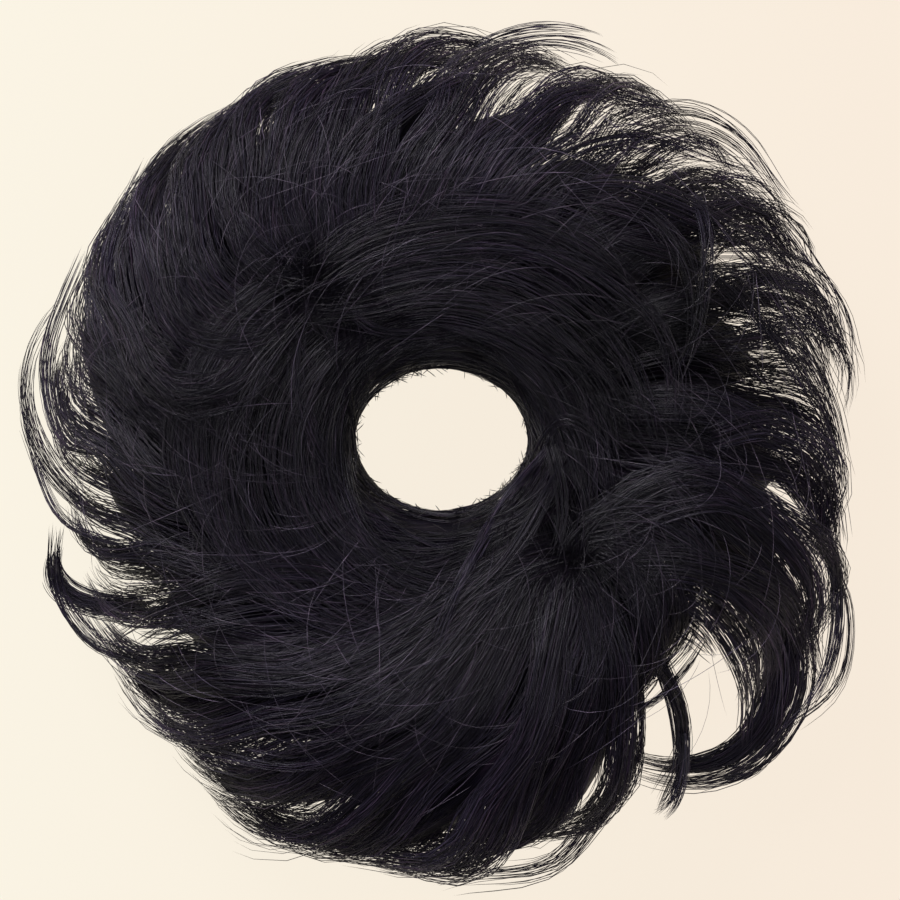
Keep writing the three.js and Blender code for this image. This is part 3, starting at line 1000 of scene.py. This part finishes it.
# Loose locks that cross the tufts and stand out at the rim. Each row follows a lock in the photograph from
# its root to its tip, in the photograph's pixels. `proud` is how far it lies above the hair's usual top, or
# below it, and `shade` makes it paler.
PIXELS_PER_MM = 5
AXIS_PIXEL = (442, 439)
CROSSING = table(
    "line width proud fibres shade",
    (((548, 448), (505, 505), (470, 560), (438, 645)), 1.7, 2.6, 40, 2.3),
    (((560, 470), (505, 560), (455, 610), (400, 675)), 2.0, 2.0, 34, 1.5),
    (((575, 560), (505, 590), (430, 650), (330, 700)), 4.0, 1.4, 50, 1),
    (((592, 585), (585, 670), (545, 760), (480, 835)), 4.0, 1.4, 50, 1),
    (((584, 590), (560, 660), (500, 730), (420, 800)), 3.6, 1.6, 46, 1),
    (((590, 565), (690, 560), (780, 600), (826, 690)), 4.6, 1.2, 50, 1),
    (((600, 588), (692, 606), (747, 680), (744, 750)), 2.6, -1.0, 40, 1),
    (((302, 282), (236, 215), (240, 125), (330, 68)), 4.4, 1.4, 54, 1),
    (((322, 272), (292, 190), (330, 110), (415, 58)), 4.4, 1.6, 54, 1),
    (((346, 266), (346, 180), (400, 110), (490, 66)), 4.2, 1.4, 50, 1),
    (((460, 215), (515, 135), (580, 95), (690, 112)), 3.6, 1.4, 44, 1),
    (((480, 240), (560, 160), (650, 142), (760, 172)), 3.8, 1.6, 46, 1),
    (((560, 195), (640, 196), (740, 245), (806, 335)), 3.8, 1.4, 46, 1),
    (((600, 235), (690, 262), (770, 330), (808, 410)), 3.6, 1.4, 40, 1),
    (((195, 362), (140, 332), (113, 270), (150, 165)), 3.8, 1.0, 46, 1),
    (((125, 450), (66, 440), (45, 365), (84, 252)), 1.8, -4.0, 36, 1),
    (((140, 548), (72, 525), (38, 480), (24, 425)), 1.4, -5.0, 22, 1),
    (((452, 600), (400, 690), (300, 752), (180, 735)), 4.6, 1.4, 54, 1),
    (((365, 580), (290, 570), (200, 585), (112, 640)), 4.0, 1.6, 50, 1),
    (((150, 660), (92, 640), (56, 590), (60, 525)), 2.2, -3.0, 34, 1),
    (((612, 680), (612, 780), (560, 862), (440, 888)), 3.0, -3.0, 44, 1),
    (((604, 640), (662, 672), (686, 738), (656, 812)), 1.5, -5.0, 26, 1),
    (((820, 540), (856, 610), (840, 690), (762, 752)), 1.0, -6.0, 16, 1),
    (((812, 650), (800, 712), (762, 770), (704, 791)), 1.1, -6.0, 16, 1),
    (((616, 709), (655, 700), (686, 668), (703, 636)), 0.9, -7.0, 16, 1),
    (((600, 560), (680, 578), (738, 630), (756, 700)), 4.0, -3.0, 50, 1),
    (((690, 520), (765, 540), (806, 600), (822, 665)), 4.0, -5.0, 44, 1),
    (((340, 700), (262, 722), (200, 738), (140, 712)), 4.0, -5.0, 50, 1),
    (((290, 662), (200, 670), (134, 656), (84, 606)), 4.4, -5.0, 48, 1),
    (((470, 780), (400, 822), (320, 838), (250, 800)), 4.0, -5.0, 40, 1),
    (((590, 150), (672, 118), (740, 142), (792, 205)), 4.4, -1.0, 34, 1),
    (((670, 205), (760, 216), (815, 280), (842, 350)), 4.4, -1.0, 34, 1),
    (((700, 262), (785, 268), (838, 312), (857, 374)), 4.0, -2.0, 34, 1),
    (((705, 350), (780, 346), (826, 400), (846, 476)), 4.4, -1.0, 34, 1),
    (((700, 440), (770, 425), (825, 470), (842, 540)), 4.4, -1.0, 34, 1),
    (((325, 520), (400, 566), (480, 548), (545, 500)), 3.0, 0.4, 34, 1),
    (((352, 492), (415, 540), (485, 530), (536, 482)), 2.0, 0.4, 26, 1),
    (((384, 604), (305, 604), (218, 612), (140, 648)), 4.2, 0.8, 34, 1),
    (((600, 590), (650, 606), (690, 628), (716, 650)), 4.2, -5.0, 50, 1),
    (((300, 300), (335, 350), (352, 420), (352, 480)), 1.8, 1.6, 20, 1),
    (((318, 300), (268, 360), (228, 450), (240, 548)), 2.4, 2.2, 26, 1),
    (((306, 306), (300, 390), (330, 470), (392, 540)), 2.4, 1.8, 26, 1),
    (((330, 290), (380, 330), (470, 335), (540, 385)), 1.6, 1.6, 18, 1),
    (((500, 250), (590, 270), (660, 330), (668, 430)), 2.6, 2.4, 26, 1),
    (((690, 190), (706, 250), (694, 325), (655, 400)), 2.2, 2.2, 22, 1),
    (((575, 200), (650, 225), (690, 290), (690, 352)), 2.4, 2.0, 24, 1),
    (((610, 500), (600, 440), (560, 420), (528, 470)), 1.4, 2.0, 14, 1),
    (((590, 560), (640, 520), (720, 505), (800, 560)), 2.4, 1.6, 24, 1),
    # a painted highlight: this lock is painted paler for the sheen where it crosses the loop at the lower
    # right
    (((602, 572), (700, 580), (776, 645), (770, 738)), 3.2, 0.6, 32, 1.5),
)


def through(points, steps):
    """A smooth line through points, as a Catmull-Rom spline."""
    points = np.array([2 * points[0] - points[1], *points, 2 * points[-1] - points[-2]])
    at = np.linspace(0, len(points) - 3, steps)
    low = np.minimum(at.astype(int), len(points) - 4)
    part = (at - low)[:, None]
    a, b, c, d = (points[low + i] for i in range(4))
    square, cube = 2 * a - 5 * b + 4 * c - d, 3 * b - a - 3 * c + d
    return 0.5 * (2 * b + (c - a) * part + square * part**2 + cube * part**3)


def crossing_hair():
    """One lock to each row."""
    rng = np.random.default_rng(41)
    paths = []
    for row in CROSSING:
        middle_x, middle_y = AXIS_PIXEL
        flat = [((x - middle_x) / PIXELS_PER_MM, (middle_y - y) / PIXELS_PER_MM) for x, y in row["line"]]
        flat = through(np.array(flat), 56)
        height = top_height(np.hypot(flat[:, 0], flat[:, 1])) + row["proud"]
        guide = np.column_stack([flat, np.maximum(height, 3.0)])
        up = np.tile([0.0, 0.0, 1.0], (len(guide), 1))
        paths.append(
            lock(
                rng, guide, up, row["fibres"], row["width"], 0.8, 13,
                root=0.6, tip=0.25, short=0.45, wave=0.5, stray=0.015,
            )
        )
    shades = [row["shade"] * rng.uniform(0.75, 1.35) for row in CROSSING]
    return fibre_mesh("crossing_hair", paths, FIBRE, 42, shades=shades)


finished("crossing_hair", crossing_hair())

# Flyaways: single fibres that have worked loose all over the hairpiece and lie across its locks. Their
# colours are painted paler than the hair under them: a painted highlight for the light they catch.
STRAY = hair_material(
    "stray_hair", 420.0, 0.0002, 0.5,
    Dark=linear(38, 34, 44), Light=linear(96, 88, 104), Warm=linear(104, 88, 102),
)
FLYAWAYS = 520  # tried: those that reach over the hole or past the rim are left out
FLYAWAY_THICK = (0.07, 0.12)
FLYAWAY_RIM = 81


def flyaway_hair():
    """Single arcs that mostly follow the hair's turn."""
    rng = np.random.default_rng(51)
    points = 10
    paths = []
    for _ in range(FLYAWAYS):
        radius, turn = rng.uniform(19, 74), rng.uniform(0, 2 * np.pi)
        lean = np.clip((radius - 30) / 45, 0, 1)
        course = turn - np.pi / 2 * (0.35 + 0.5 * lean) + rng.normal(0, 0.6)
        length, bend = rng.uniform(10, 42), rng.normal(-0.9, 0.7)
        at = np.array([radius * np.cos(turn), radius * np.sin(turn)])
        line = [at]
        for number in range(points - 1):
            course += bend / points
            at = at + length / points * np.array([np.cos(course), np.sin(course)])
            line.append(at)
        line = np.array(line)
        away = np.hypot(line[:, 0], line[:, 1])
        away = np.where(away > 80, 80 + (away - 80) * 0.4, away)
        high = top_height(away) + rng.uniform(0.8, 3.0) + 2.0 * np.sin(np.pi * np.linspace(0, 1, points))
        angle = np.degrees(np.arctan2(line[:, 1], line[:, 0]))
        if (away > hole_radius(angle) + 2.5).all() and away.max() < FLYAWAY_RIM:
            paths.append(polar(angle, away, high)[None])
    return fibre_mesh("flyaway_hair", paths, FLYAWAY_THICK, 52, material=STRAY)


finished("flyaway_hair", flyaway_hair())
